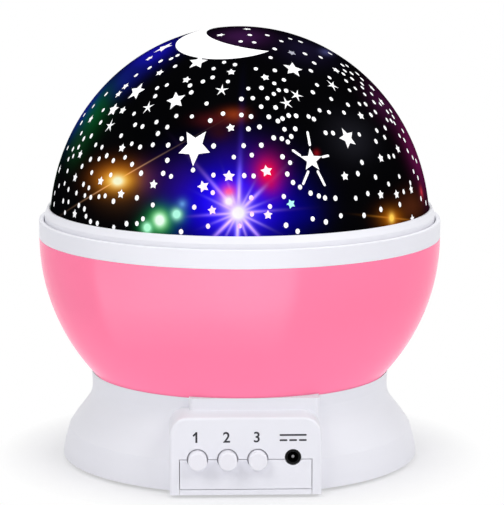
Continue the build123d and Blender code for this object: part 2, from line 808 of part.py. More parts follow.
with BuildPart() as dome_ring:
    with BuildSketch(Plane.XZ):
        with BuildLine():
            Polyline(
                (dome_r - ring_lip_w, ring_foot_z),
                (ring_r, ring_foot_z),
                (ring_r, ring_top_z - ring_taper_h),
                (ring_r - ring_taper, ring_top_z),
                (dome_r - ring_lip_w, ring_top_z),
                close=True,
            )
        make_face()
        add(dome_section(-play), mode=Mode.SUBTRACT)
    revolve(axis=Axis.Z)
    fillet(edges().filter_by(GeomType.CIRCLE).sort_by(Axis.Z)[-1], ring_edge_r)
save(dome_ring, "dome_ring")
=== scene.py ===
"""The looks of the star night light projector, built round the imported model.

Metres, +Z up, the buttons facing -Y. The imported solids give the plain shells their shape; this
script gives them their finishes, and adds the dome's clear stars and the printing on the panel.
"""

import json
import math
import random

import bmesh
import bpy
from mathutils import Matrix, Vector


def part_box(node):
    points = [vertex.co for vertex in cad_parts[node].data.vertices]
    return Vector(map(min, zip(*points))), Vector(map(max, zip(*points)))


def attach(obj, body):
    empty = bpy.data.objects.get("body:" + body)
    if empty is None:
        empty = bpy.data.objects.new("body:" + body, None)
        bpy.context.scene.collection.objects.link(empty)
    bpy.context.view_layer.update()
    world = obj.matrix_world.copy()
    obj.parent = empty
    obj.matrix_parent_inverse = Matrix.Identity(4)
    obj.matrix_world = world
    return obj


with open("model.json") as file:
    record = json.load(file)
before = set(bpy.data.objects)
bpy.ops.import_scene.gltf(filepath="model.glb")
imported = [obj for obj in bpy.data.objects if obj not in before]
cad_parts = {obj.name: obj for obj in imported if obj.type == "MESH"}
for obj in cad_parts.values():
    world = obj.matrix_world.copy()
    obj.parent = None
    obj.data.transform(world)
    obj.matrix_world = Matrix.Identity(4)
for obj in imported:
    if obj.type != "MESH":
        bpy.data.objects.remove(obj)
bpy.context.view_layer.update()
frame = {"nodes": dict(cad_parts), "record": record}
nodes = frame["nodes"]
MM = 0.001

# ---- Camera, in the photograph's frame
PHOTO_W = 504
PHOTO_H = 505
CAMERA_AT = Vector((-0.025, -0.7857, 0.198))
AIM_AT = Vector((0.0, 0.0, 0.066))
LENS = 189.3
SENSOR = 36.0
AXIS_LEFT_PX = 12.3
AIM_ABOVE_PX = 15.2

# ---- Dome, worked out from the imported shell
DOME_LOW, DOME_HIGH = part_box("star_dome")
DOME_FOOT = DOME_LOW.z
DOME_R = DOME_HIGH.x
DOME_H = DOME_HIGH.z - DOME_FOOT
DOME_WALL = 1.5 * MM
RIM_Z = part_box("rim_collar")[1].z

# ---- Clear windows in the dome's black coat. The crescent is a disc less a bite, seen from above.
WINDOW_PROUD = 0.03 * MM
CRESCENT_AT = Vector((-3.3, -10.5)) * MM
CRESCENT_R = 15.8 * MM
BITE_AT = Vector((6.0, -5.9)) * MM
BITE_R = 16.0 * MM
DOT_R = 0.63 * MM
DOT_STRETCH = 1.18
DOT_SPACE = 2.6 * MM
DOT_RANGE = (0.92, 1.08)

# ---- Windows on the side turned from the camera, at random
FIELD_DOT_TOTAL = 330
FIELD_DOT_RANGE = (0.9, 1.12)
FIELD_STAR_TOTAL = 95
FIELD_KINDS = ("large", "middle", "small", "small", "small", "small", "thin")
FIELD_HEIGHTS = (0.02, 0.985)
# A star turned by this many degrees looks the same
STAR_TURN = 72
SEED = 11

# ---- Plastic, metal and lamps
CLOUD_SCALE = 18
GLOSS_SCALE = 140
RIPPLE_SCALE = 20
RIPPLE_DEPTH = 0.006 * MM
LINE_SHADE = 0.82
LED_GLOW = 1.4

# ---- Painted light in the pink bowl: a glow from its foot up, strongest at the foot to lift the shade there
BOWL_PAINTED_GLOW_FOOT = 0.38
BOWL_PAINTED_GLOW = 0.21
BOWL_PAINTED_GLOW_FADE = (27 * MM, 52 * MM)

# ---- Studio
AMBIENT = 0.5
# The floor keeps the part's shadow out to SHADOW_R, and is its own plain white from CLEAR_R on
FLOOR_SIZE = 6
FLOOR_CELLS = 8
SHADOW_R = 0.056
CLEAR_R = 0.074
OWN_WHITE_NEAR = 0.5
PAPER_WHITE = (0.79, 0.82)
PAPER_BLUE = 1.04
# Each lamp's name, place, size and power
LAMPS = [
    ("left", (-0.45, -0.63, 0.72), 0.5, 2.7),
    ("right", (0.57, -0.57, 0.75), 0.5, 3.4),
    ("top", (0, 0.1, 1.2), 0.8, 3),
]
# Clear cards of light on the floor, each of which shows in the gloss of one piece: the corners in
# mm, and each piece with its card's strength. A card comes up over CARD_FADE from the middle. Over
# CARD_LEFT_SPAN of the way across, it goes down to CARD_LEFT_SHARE at the far left.
CARD_CORNERS = [(-72, -28), (23, -78), (350, -628), (-450, -640), (-650, -48)]
CARD_FADE = (75 * MM, 145 * MM)
CARD_LEFT_SHARE = 0.5
CARD_LEFT_SPAN = (-1.0, -0.75)
CARD_Z = 0.5 * MM
CARDS = [("bowl", 19.5), ("rim_collar", 4.2)]

# ---- Marks printed on the panel: numerals, the 1 with a flag, and the sign over the inlet
MARK_T = 0.06 * MM
MARK_SUNK = 0.02 * MM
NUMERAL_Z = 16.25 * MM
NUMERAL_H = 3.1 * MM
NUMERAL_LEFT = 0.3 * MM
NUMERAL_BOLD = 0.014
FLAG_W = 0.8 * MM
FLAG_DROP = 0.75 * MM
SYMBOL_Z = 17.6 * MM
SYMBOL_W = 7.2 * MM
SYMBOL_LINE = 0.5 * MM
SYMBOL_GAP = 1.5 * MM
SYMBOL_DASHES = 3
SYMBOL_DASH_SHARE = 0.24
MARK_WELD = MARK_T / 20

# ---- Stars and dots on the side that faces the camera, and the painted light behind them, as read one by one
# Stars by kind: pixel across, pixel down, turn in degrees
STARS = {
    "big": [(194.6, 146.7, 183)],
    "large": [
        (197.8, 62, 5), (136.6, 91.5, 4), (175.8, 100.4, 22), (293, 69.1, -24), (347.5, 138.1, 13),
        (163.8, 47.6, 20),
    ],
    "medium": [(113.3, 109.7, 10)],
    "middle": [(203.3, 186.5, 20), (228.9, 176.2, 0), (266.6, 171, 8)],
    "small": [
        (149.4, 58.3, 0), (159.7, 72.7, 10), (186.4, 79.8, 0), (231.2, 72, 5), (125.4, 86.3, 0),
        (118.5, 94, 30), (122.7, 110.3, 0), (90.7, 119.2, 10), (230.7, 127.8, 12), (122, 148, 0),
        (80.2, 154.3, 0), (75.1, 177.6, 0), (100.7, 181, 0), (121, 193.9, 0), (153.5, 184.4, 0),
        (59.6, 169.3, 0), (212.2, 210.3, 10), (74.7, 213.9, 0), (291.7, 52.8, 0), (265.2, 77.4, 8),
        (336, 70.2, 20), (360.9, 115.7, -10), (371.9, 88, 0), (397.9, 149, 0), (380.8, 158.2, 0),
        (344.9, 176.2, 0), (380.8, 194.7, 0), (396.6, 194.3, 0), (411.2, 189.5, 0), (291, 203.9, 20),
        (268, 214.9, 0), (412.3, 219, 0), (381.5, 101.8, 0), (220.5, 35, 10), (247.1, 29.1, 0),
    ],
    "thin": [
        (221.8, 90.1, 0), (148, 107.5, 15), (109.9, 125.8, 10), (296.5, 95.2, 40), (286.5, 103.1, 8),
        (332.4, 85.3, 20),
    ],
}
# Radius in mm, waist as a share of it, stretch up the dome, and rings of faces
STAR_SIZES = {
    "big": (4.8, 0.47, 1.2, 3),
    "large": (2.95, 0.47, 1.12, 2),
    "medium": (2.2, 0.5, 1.05, 2),
    "middle": (1.75, 0.52, 1, 2),
    "small": (1.3, 0.55, 1.05, 2),
    "thin": (2.0, 0.26, 1.15, 2),
}
# The star with rays round it, and each ray's two ends
RAYED_STAR = (311.4, 160.0, -3)
RAYED_STAR_R = 3.5 * MM
RAYED_STAR_WAIST = 0.42
RAYED_STAR_RINGS = 2
RAYED_STAR_REACH = 7 * MM
RAYS = [
    ((310.0, 146.0), (307.3, 131.3)),
    ((300.9, 156.1), (292.0, 149.8)),
    ((321.6, 157.2), (329.0, 155.5)),
    ((308.6, 170.6), (302.8, 184.8)),
    ((317.2, 170.4), (325.1, 186.1)),
]
RAY_HALF_W = 0.36 * MM
RAY_SIDE_STOPS = (0.4, 0.0, -0.4)
# A ray or a printed stroke ends in a half circle of six edges
CAP_ANGLES = [math.radians(-90 + 30 * step) for step in range(7)]

# Painted light: the glow of the lamps inside, painted on the coat as emission, as the front shows it:
# pixel across, pixel down, turn in degrees, reach across and up in mm, colour, strength. A wash is soft
# all over, a glow comes to a point, and a flare is a thin glow.
WASHES = [
    (240, 156, 0, 8.5, 6, (26, 4, 92), 0.9),
    (180, 184, 0, 6.5, 7, (34, 8, 92), 0.9),
    (148, 180, 0, 4, 4.5, (48, 12, 70), 0.7),
    (300, 214, 0, 5, 4, (0, 0, 92), 0.8),
    (234, 204, 0, 12, 8.5, (20, 0, 238), 1.6),
    (120, 198, 0, 7, 4.5, (40, 24, 10), 0.8),
    (116, 177, 0, 6.2, 3.4, (140, 62, 14), 0.95),
    (152, 55, 35, 8, 3.6, (16, 12, 150), 1.25),
    (126, 78, 42, 7, 3.4, (10, 18, 104), 1.0),
    (92, 112, -22, 4.5, 8.5, (2, 74, 26), 1.2),
    (78, 142, -12, 3, 6, (10, 48, 20), 0.9),
    (414, 152, 22, 3.6, 14, (84, 14, 60), 1.1),
    (384, 104, 34, 4.5, 6.5, (58, 14, 50), 0.9),
    (243, 37, 0, 7, 3.4, (58, 20, 68), 0.9),
    (306, 50, 0, 8, 5, (22, 16, 42), 0.8),
    (326, 52, 0, 1.8, 1.2, (70, 70, 120), 0.7),
    (233, 115, 0, 3.2, 1.7, (140, 52, 16), 1.0),
    (216, 120, 0, 5, 1.8, (76, 16, 18), 0.9),
    (220, 132, 0, 3, 2.4, (44, 8, 16), 0.8),
    # A painted reflection: a faint grey patch on the black coat
    (352, 138, 0, 7, 6, (24, 24, 30), 0.9),
    # A painted glint: a small dark red spot beside the rayed star
    (316.6, 153.6, 0, 0.8, 1.0, (130, 10, 20), 0.85),
    (266, 172, 0, 4.5, 4.4, (100, 4, 96), 0.85),
    (412, 206, 0, 4.5, 4, (76, 34, 14), 0.9),
]
GLOWS = [
    (271, 184, 0, 1.7, 2.2, (160, 0, 110), 0.9),
    (267.5, 172.6, 0, 2.1, 2.7, (238, 8, 72), 1.5),
    (238.2, 211.5, 0, 3.8, 3.8, (96, 60, 255), 1.2),
    (238.2, 212.9, 0, 1.8, 1.8, (232, 190, 255), 1.7),
    (238.2, 212.9, 0, 1.25, 1.25, (255, 252, 255), 3.2),
    (228.9, 191.9, 0, 1.5, 1.4, (255, 60, 150), 1.3),
    (228.9, 201.4, 0, 1.5, 1.4, (255, 200, 244), 1.2),
    (228.9, 201.4, 0, 0.75, 0.75, (255, 244, 252), 2.6),
    (159.6, 220.3, 0, 2.5, 2.4, (6, 120, 36), 1.5),
    (159.6, 220.3, 0, 1.6, 1.6, (0, 226, 92), 2.2),
    (159.6, 220.3, 0, 1.1, 1.1, (236, 255, 242), 3.0),
    (147.2, 227.6, 0, 1.4, 1.3, (0, 160, 70), 1.6),
    (147.2, 227.6, 0, 0.85, 0.85, (176, 255, 212), 3.0),
    (176.6, 214.2, 0, 1.4, 1.3, (0, 150, 96), 1.5),
    (176.6, 214.2, 0, 0.85, 0.85, (178, 255, 230), 3.2),
    (182.3, 204.0, 0, 0.9, 0.9, (96, 150, 220), 1.2),
    (117.6, 179.5, 0, 3.6, 2.4, (236, 132, 22), 1.2),
    (117.6, 180.5, 0, 2.3, 1.5, (255, 206, 66), 1.8),
    (117.6, 181, 0, 1.0, 0.8, (255, 255, 214), 3.0),
    (391.7, 218.0, 0, 2.3, 1.9, (180, 96, 4), 1.2),
    (391.7, 218.0, 0, 0.9, 0.9, (255, 206, 84), 2.2),
    (421.5, 192.0, 0, 1.3, 1.3, (190, 48, 66), 1.1),
]
FLARES = [
    (238.2, 212.9, 88, 10.5, 0.5, (96, 60, 255), 1.3),
    (238.2, 212.9, 88, 4.4, 0.34, (255, 232, 255), 3.0),
    (238.2, 212.9, 44.5, 6, 0.34, (220, 160, 255), 1.7),
    (238.2, 212.9, 131, 7.5, 0.34, (200, 140, 255), 1.6),
    (238.2, 212.9, 4, 5.5, 0.24, (210, 150, 255), 1.3),
    (238.2, 212.9, 44.5, 3.4, 0.3, (255, 226, 255), 2.6),
    (238.2, 212.9, 131, 3.6, 0.3, (255, 226, 255), 2.6),
    (238.2, 212.9, 4, 3.0, 0.26, (255, 226, 255), 2.2),
    (238.2, 212.9, 22, 3.0, 0.22, (255, 206, 246), 2.6),
    (238.2, 212.9, 62, 3.2, 0.22, (255, 206, 246), 2.6),
    (238.2, 212.9, 109, 3.4, 0.22, (255, 206, 246), 2.6),
    (238.2, 212.9, 154, 3.4, 0.22, (255, 206, 246), 2.6),
    (117.6, 180, 29, 6, 0.14, (255, 180, 100), 1.1),
    (117.6, 180, 29, 13, 0.09, (170, 140, 124), 0.8),
    (391.7, 218.0, -5, 3.6, 0.18, (235, 150, 50), 1.0),
]
# Painted tints of lamp light that only the windows show: pixel across, pixel down, reach in mm, colour
PAINTED_WINDOW_TINTS = [
    (266.6, 171, 2.2, (255, 226, 236)), (291, 203.9, 2.0, (176, 250, 240)),
    (291.7, 52.8, 1.8, (158, 158, 172)),
]
# Painted lamp glows on the sides and back: degrees round from the front, height as a share of the dome's,
# reach in mm, colour and strength. A flare has its turn in degrees and its reach.
REAR_WASHES = [
    (116, 0.3, 12, (10, 40, 130), 0.9), (150, 0.12, 15, (20, 0, 230), 1.4),
    (178, 0.55, 9, (66, 14, 84), 0.9), (215, 0.16, 10, (150, 70, 12), 0.9),
    (258, 0.3, 10, (0, 78, 30), 1.0), (272, 0.6, 9, (10, 12, 120), 0.9), (120, 0.62, 8, (92, 24, 8), 0.8),
]
REAR_GLOWS = [
    (128, 0.22, 3.2, (236, 8, 54), 1.4), (150, 0.08, 4.0, (92, 50, 255), 1.0),
    (150, 0.08, 2.0, (214, 170, 255), 1.5), (150, 0.08, 1.0, (255, 252, 255), 3.0),
    (172, 0.13, 3.0, (10, 120, 36), 1.6), (172, 0.13, 0.9, (238, 255, 236), 3.0),
    (215, 0.14, 3.4, (255, 150, 20), 1.2), (215, 0.14, 1.4, (255, 238, 140), 3.0),
    (106, 0.1, 2.6, (20, 90, 220), 1.3), (106, 0.1, 0.8, (225, 240, 255), 2.4),
    (262, 0.2, 3.0, (10, 120, 36), 1.5), (262, 0.2, 0.9, (238, 255, 236), 2.6),
]
REAR_FLARES = [
    (150, 0.08, 90, 6.0), (150, 0.08, 42, 5.0), (150, 0.08, 132, 5.0), (150, 0.08, 2, 4.0),
    (215, 0.14, 24, 5.0),
]
REAR_FLARE_W = 0.3
REAR_FLARE_COLOUR = (190, 150, 255)
REAR_FLARE_STRENGTH = 1.0
# How steeply each kind falls off from its middle, and how deep in mm the long ones reach
WASH_FALL = 2.0
GLOW_FALL = 1.35
FLARE_FALL = 1.35
GLOW_DEEP = 13
BLOTCHES = (0.88, 1.12)
# How much painted blue behind a window tints it, where a painted tint begins to fade, and the windows'
# painted glow
WINDOW_BLUSH = 0.55
TINT_EDGE = 0.7
WINDOW_PAINTED_GLOW = (0.13, 0.19)

# Dots on the front, as read off two enlargements of the photograph: the enlargement's left and top
# in the photograph, its scale, and the dots' places in it
DOTS_LEFT = (50, 20, 6.272, [
    (800, 222), (760, 243), (694, 258), (785, 290), (625, 300), (540, 347), (733, 408), (672, 427),
    (660, 478), (352, 465), (334, 565), (272, 541), (215, 595), (197, 645), (318, 643), (527, 588),
    (878, 411), (886, 454), (959, 386), (1020, 360), (1026, 305), (1092, 265), (1160, 280), (1116, 386),
    (982, 524), (792, 602), (890, 605), (668, 640), (736, 672), (677, 712), (534, 657), (580, 668),
    (446, 726), (1005, 631), (1085, 587), (197, 710), (212, 745), (259, 727), (180, 797), (144, 810),
    (111, 803), (287, 783), (326, 798), (513, 776), (565, 797), (645, 783), (741, 785), (826, 744),
    (1026, 790), (736, 880), (146, 853), (116, 873), (254, 874), (308, 871), (356, 851), (397, 882),
    (471, 862), (515, 905), (201, 918), (897, 941), (110, 947), (262, 957), (571, 961), (710, 962),
    (759, 981), (1025, 973), (57, 1040), (92, 1025), (210, 1031), (244, 1053), (116, 1063), (166, 1085),
    (1021, 1083), (83, 1135), (116, 1141), (181, 1163), (219, 1101), (256, 1112), (307, 1108),
    (346, 1103), (398, 1137), (545, 1115), (645, 1160), (216, 1185), (94, 1208), (226, 1231), (254, 1264),
    (297, 1276), (400, 1300), (480, 1278), (545, 1277), (583, 1247), (822, 1328), (905, 1174),
    (991, 1293), (1190, 1292), (1153, 860), (1218, 976), (30, 1085), (26, 1155), (381, 972), (52, 1255),
])
DOTS_RIGHT = (240, 20, 7.127, [
    (70, 107), (5, 153), (101, 160), (195, 109), (295, 151), (358, 134), (431, 155), (247, 206),
    (218, 268), (113, 348), (248, 359), (463, 241), (575, 266), (529, 307), (505, 362), (642, 240),
    (313, 427), (244, 452), (59, 489), (153, 484), (276, 500), (329, 504), (241, 527), (10, 563),
    (91, 557), (195, 557), (549, 463), (519, 515), (638, 411), (650, 563), (151, 618), (254, 624),
    (769, 604), (851, 598), (895, 600), (567, 644), (634, 657), (741, 660), (757, 435), (781, 501),
    (822, 488), (737, 385), (730, 322), (763, 327), (747, 362), (795, 380), (836, 383), (799, 419),
    (869, 422), (870, 455), (872, 482), (938, 527), (889, 530), (955, 586), (965, 656), (933, 676),
    (1000, 600), (1051, 654), (1074, 648), (1092, 690), (1048, 712), (1078, 718), (1101, 735), (10, 677),
    (79, 688), (205, 690), (270, 720), (303, 703), (347, 681), (400, 683), (489, 688), (526, 706),
    (60, 776), (139, 762), (317, 779), (394, 776), (240, 840), (298, 846), (365, 830), (341, 869),
    (610, 804), (663, 806), (850, 816), (975, 788), (1034, 769), (969, 865), (1031, 836), (1137, 825),
    (1172, 857), (1160, 790), (26, 896), (152, 892), (84, 963), (303, 975), (357, 1017), (337, 1098),
    (378, 1158), (428, 1191), (503, 1234), (562, 1254), (606, 1268), (680, 1270), (312, 1258), (31, 1108),
    (97, 1112), (80, 1268), (85, 1384), (213, 1329), (328, 1463), (411, 1506), (518, 1417), (612, 1439),
    (719, 1395), (884, 1392), (825, 1270), (911, 1237), (869, 1015), (840, 1095), (966, 1120),
    (1059, 1169), (1061, 974), (1096, 970), (1135, 1115), (1166, 1224), (1004, 1350), (1139, 1315),
    (1290, 1273), (1325, 1303), (1195, 933), (1231, 980), (1256, 1005), (1237, 1080), (1213, 1160),
    (1268, 1125),
])


def add_object(name, data):
    """A new object, linked into the scene."""
    made = bpy.data.objects.new(name, data)
    bpy.context.scene.collection.objects.link(made)
    return made


# ---- Camera and the dome's surface
def camera_axes():
    """Right, up and forward of the photograph's camera."""
    forward = (AIM_AT - CAMERA_AT).normalized()
    right = forward.cross(Vector((0, 0, 1))).normalized()
    return right, right.cross(forward), forward


def dome_at(px, py):
    """The point of the dome's front that the photograph shows at a pixel, or None beside the dome."""
    right, up, forward = camera_axes()
    across = px - (PHOTO_W / 2 - AXIS_LEFT_PX)
    above = (PHOTO_H / 2 - AIM_ABOVE_PX) - py
    ray = (forward * (LENS / SENSOR * PHOTO_H) + right * across + up * above).normalized()
    scale = Vector((1 / DOME_R, 1 / DOME_R, 1 / DOME_H))
    start = (CAMERA_AT - Vector((0, 0, DOME_FOOT))) * scale
    way = ray * scale
    a, b, c = way.dot(way), 2 * start.dot(way), start.dot(start) - 1
    root = b * b - 4 * a * c
    if root < 0:
        return None
    return CAMERA_AT + ray * ((-b - math.sqrt(root)) / (2 * a))


def dome_normal(point):
    """The outward direction of the dome's surface at a point."""
    slope = Vector((point.x / DOME_R**2, point.y / DOME_R**2, (point.z - DOME_FOOT) / DOME_H**2))
    return slope.normalized()


def onto_dome(point, proud=0.0):
    """A point moved straight onto the dome's outer surface, then out by proud."""
    middle = Vector((0, 0, DOME_FOOT))
    arm = point - middle
    size = math.sqrt((arm.x**2 + arm.y**2) / DOME_R**2 + arm.z**2 / DOME_H**2)
    seat = middle + arm / size
    return seat + dome_normal(seat) * proud


def dome_frame(point):
    """East, north and outward on the dome at a point."""
    out = dome_normal(point)
    east = Vector((0, 0, 1)).cross(out).normalized()
    return east, out.cross(east), out


def round_dome(turn, height):
    """The point of the dome at a turn in radians and at a share of the dome's height."""
    flat = math.sqrt(1 - height**2)
    x, y = DOME_R * flat * math.cos(turn), DOME_R * flat * math.sin(turn)
    return Vector((x, y, DOME_FOOT + DOME_H * height))


def make_camera():
    """The photograph's camera, shifted as the picture was cropped."""
    forward = camera_axes()[2]
    data = bpy.data.cameras.new("camera")
    data.lens = LENS
    data.sensor_width = SENSOR
    data.shift_x = AXIS_LEFT_PX / PHOTO_H
    data.shift_y = -AIM_ABOVE_PX / PHOTO_H
    camera = add_object("camera", data)
    camera.location = CAMERA_AT
    camera.rotation_euler = forward.to_track_quat("-Z", "Y").to_euler()
    bpy.context.scene.camera = camera


# ---- Materials
class Finish:
    """A material and short calls that add linked nodes to it."""

    def __init__(self, name, **sockets):
        self.material = bpy.data.materials.new(name)
        self.material.use_nodes = True
        self.tree = self.material.node_tree
        self.shader = self.tree.nodes["Principled BSDF"]
        self.output = self.tree.nodes["Material Output"]
        for socket, value in sockets.items():
            self.shader.inputs[socket.replace("_", " ")].default_value = value

    def node(self, kind, *inputs, **settings):
        """A node with its properties set and its inputs, in order, linked or given a value."""
        made = self.tree.nodes.new(kind)
        for key, value in settings.items():
            setattr(made, key, value)
        for index, value in enumerate(inputs):
            self.feed(made.inputs[index], value)
        return made

    def feed(self, socket, value):
        """Links a socket to another, or sets its value. None leaves it as it is."""
        if isinstance(value, bpy.types.NodeSocket):
            self.tree.links.new(value, socket)
        elif value is not None:
            socket.default_value = value

    def math(self, operation, *values):
        """Arithmetic on numbers."""
        return self.node("ShaderNodeMath", *values, operation=operation).outputs[0]

    def vector(self, operation, *values):
        """Arithmetic on vectors. A length, distance or dot product comes out as a number."""
        made = self.node("ShaderNodeVectorMath", *values, operation=operation)
        return made.outputs["Value" if operation in ("LENGTH", "DISTANCE", "DOT_PRODUCT") else "Vector"]

    def place(self, stretch=(1, 1, 1)):
        """Object coordinates, stretched."""
        coordinates = self.node("ShaderNodeTexCoord").outputs["Object"]
        mapping = self.node("ShaderNodeMapping", coordinates)
        mapping.inputs["Scale"].default_value = stretch
        return mapping.outputs[0]

    def lamp_place(self):
        """Coordinates that stay with the base, as the lamps do, when the globe turns."""
        return self.node("ShaderNodeTexCoord", object=LAMP_PLACE).outputs["Object"]

    def noise(self, scale, detail=2.0, stretch=(1, 1, 1)):
        """Noise over the object, from 0 to 1."""
        made = self.node("ShaderNodeTexNoise", self.place(stretch))
        made.inputs["Scale"].default_value = scale
        made.inputs["Detail"].default_value = detail
        return made.outputs[0]

    def spread(self, value, low, high, from_low=0.3, from_high=0.7):
        """A value brought from one span to another, and kept inside it."""
        return self.node("ShaderNodeMapRange", value, from_low, from_high, low, high).outputs[0]

    def blend(self, amount, first, second, mode="MIX"):
        """Two colours mixed. The node's colour sockets are its inputs 6 and 7, and its output 2."""
        made = self.node("ShaderNodeMix", data_type="RGBA", blend_type=mode)
        for index, value in ((0, amount), (6, first), (7, second)):
            self.feed(made.inputs[index], value)
        return made.outputs[2]

    def into(self, name, value):
        """Feeds an input of the shader."""
        self.feed(self.shader.inputs[name], value)

    def bump(self, *layers):
        """Bumps on top of each other, each (height, depth in metres)."""
        normal = None
        for height, depth in layers:
            made = self.node("ShaderNodeBump", 1.0, depth)
            self.feed(made.inputs["Height"], height)
            self.feed(made.inputs["Normal"], normal)
            normal = made.outputs[0]
        self.into("Normal", normal)


def rgb(red, green, blue):
    """A colour as written on screen, 0 to 255, in the renderer's linear values, by the sRGB curve."""
    linear = []
    for channel in (red / 255, green / 255, blue / 255):
        linear.append(channel / 12.92 if channel <= 0.04045 else ((channel + 0.055) / 1.055) ** 2.4)
    return (*linear, 1.0)


def plastic_finish(name, colour, shade, roughness=0.3, grain=0.003 * MM, grain_scale=2600, **sockets):
    """Moulded plastic: faint cloudiness, uneven gloss, fine grain and soft ripples from the mould."""
    finish = Finish(name, **sockets)
    cloud = finish.spread(finish.noise(CLOUD_SCALE, 2), 0.0, 1.0, 0.2, 0.8)
    finish.into("Base Color", finish.blend(cloud, colour, shade))
    gloss = finish.noise(GLOSS_SCALE, 4)
    finish.into("Roughness", finish.spread(gloss, roughness - 0.04, roughness + 0.05))
    ripples = finish.noise(RIPPLE_SCALE, 0)
    finish.bump((finish.noise(grain_scale, 2), grain), (ripples, RIPPLE_DEPTH))
    return finish


def plastic(*settings, **sockets):
    """The material of a plain moulded plastic."""
    return plastic_finish(*settings, **sockets).material


def bowl_plastic():
    """Pink plastic with a painted glow, strongest at its foot, that evens out the shade on the bowl."""
    pink, deeper = rgb(246, 125, 159), rgb(243, 122, 156)
    finish = plastic_finish("pink_plastic", pink, deeper, 0.18, Specular_IOR_Level=0.042)
    height = finish.node("ShaderNodeSeparateXYZ", finish.place()).outputs[2]
    # Painted glow: pink emission, strongest at the foot, that lifts the bowl's shade
    finish.into("Emission Color", rgb(255, 122, 162))
    finish.into("Emission Strength", finish.spread(height, BOWL_PAINTED_GLOW_FOOT, BOWL_PAINTED_GLOW, *BOWL_PAINTED_GLOW_FADE))
    return finish.material


def metal(name, colour, roughness=0.3, stretch=(1, 1, 14)):
    """Drawn or turned metal with fine lines one way."""
    finish = Finish(name, Metallic=1.0, Anisotropic=0.4)
    lines = finish.noise(900, 3, stretch)
    darker = [channel * LINE_SHADE for channel in colour[:3]] + [1]
    finish.into("Base Color", finish.blend(finish.spread(lines, 0, 1), colour, darker))
    finish.into("Roughness", finish.spread(lines, roughness - 0.08, roughness + 0.1))
    finish.bump((lines, 0.01 * MM))
    return finish.material


def circuit(name):
    """Green solder mask over tracks, with a faint weave under it."""
    finish = Finish(name, Coat_Weight=0.4, Coat_Roughness=0.15)
    tracks = finish.node("ShaderNodeTexBrick", finish.place((1, 1, 0.2)))
    sizes = {"Scale": 260.0, "Mortar Size": 0.06, "Brick Width": 0.9, "Row Height": 0.35}
    greens = {"Color1": rgb(22, 96, 52), "Color2": rgb(26, 104, 58), "Mortar": rgb(58, 140, 84)}
    for socket, value in {**sizes, **greens}.items():
        tracks.inputs[socket].default_value = value
    finish.into("Base Color", tracks.outputs[0])
    finish.into("Roughness", finish.spread(finish.noise(500, 3), 0.3, 0.45))
    finish.bump((tracks.outputs[1], -0.02 * MM))
    return finish.material


def lamp_lens(name, colour, glow):
    """A clear epoxy lamp, lit inside: brightest towards its top."""
    finish = Finish(name, Transmission_Weight=0.35, IOR=1.5, Coat_Weight=0.3)
    low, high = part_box(name)
    height = finish.node("ShaderNodeSeparateXYZ", finish.place()).outputs[2]
    lit = finish.spread(height, 0.25, 1.0, low.z, high.z)
    finish.into("Base Color", finish.blend(lit, colour, glow))
    finish.into("Roughness", finish.spread(finish.noise(700, 2), 0.12, 0.22))
    finish.into("Emission Color", finish.blend(lit, colour, glow))
    finish.into("Emission Strength", finish.math("MULTIPLY", lit, LED_GLOW))
    return finish.material


def seen_from_front(px, py):
    """The dome's point at a pixel and the camera's right, up and back, as a turn."""
    right, up, forward = camera_axes()
    return dome_at(px, py), Matrix((right, up, -forward)).transposed()


def seen_from_side(degrees, height):
    """A point of the dome by its way round from the front and its height, with east, north and out."""
    point = round_dome(math.radians(degrees - 90), height)
    return point, Matrix(dome_frame(point)).transposed()


def lamplight(finish):
    """The lamps' light, painted on the dome as emission colour, which stays with the base when the globe
    turns.
    """
    lights = []
    for rows, fall, over in (
        (WASHES, WASH_FALL, "MIX"), (FLARES, FLARE_FALL, "ADD"), (GLOWS, GLOW_FALL, "MIX"),
    ):
        for px, py, turn, across, up, colour, strength in rows:
            lights.append((seen_from_front(px, py), turn, across, up, colour, strength, fall, over))
    for degrees, height, reach, colour, strength in REAR_WASHES:
        place = seen_from_side(degrees, height)
        lights.append((place, 0, reach, reach, colour, strength, WASH_FALL, "MIX"))
    for degrees, height, turn, reach in REAR_FLARES:
        place, colour, strength = seen_from_side(degrees, height), REAR_FLARE_COLOUR, REAR_FLARE_STRENGTH
        lights.append((place, turn, reach, REAR_FLARE_W, colour, strength, FLARE_FALL, "ADD"))
    for degrees, height, reach, colour, strength in REAR_GLOWS:
        place = seen_from_side(degrees, height)
        lights.append((place, 0, reach, reach, colour, strength, GLOW_FALL, "MIX"))
    here = finish.lamp_place()
    total = (0.0, 0.0, 0.0, 1.0)
    for (point, axes), turn, across, up, colour, strength, fall, over in lights:
        if across == up:
            away = finish.math("DIVIDE", finish.vector("DISTANCE", here, point), across * MM)
        else:
            apart = finish.vector("SUBTRACT", here, point)
            turned = (axes @ Matrix.Rotation(math.radians(turn), 3, "Z")).transposed()
            shares = [axis / (size * MM) for axis, size in zip(turned, (across, up, GLOW_DEEP))]
            parts = [finish.vector("DOT_PRODUCT", apart, share) for share in shares]
            away = finish.vector("LENGTH", finish.node("ShaderNodeCombineXYZ", *parts).outputs[0])
        left = finish.math("POWER", 1 / math.e, finish.math("POWER", away, fall))
        total = finish.blend(finish.math("MULTIPLY", left, strength), total, rgb(*colour), over)
    blotches = finish.spread(finish.noise(90, 3), *BLOTCHES)
    return finish.vector("SCALE", total, None, None, blotches)


def dome_coat():
    """Deep black lacquer, with the lamps' colours painted on it as a glow."""
    finish = Finish("dome_coat", Specular_IOR_Level=0.0)
    cloud = finish.spread(finish.noise(35, 3), 0, 1)
    finish.into("Base Color", finish.blend(cloud, rgb(3, 3, 4), rgb(6, 6, 8)))
    finish.into("Roughness", finish.spread(finish.noise(120, 3), 0.1, 0.18))
    # Painted light: the lamps' glows, washes and flares as emission on the coat
    finish.into("Emission Color", lamplight(finish))
    finish.into("Emission Strength", 1.0)
    finish.bump((finish.noise(60, 1), 0.01 * MM))
    return finish.material


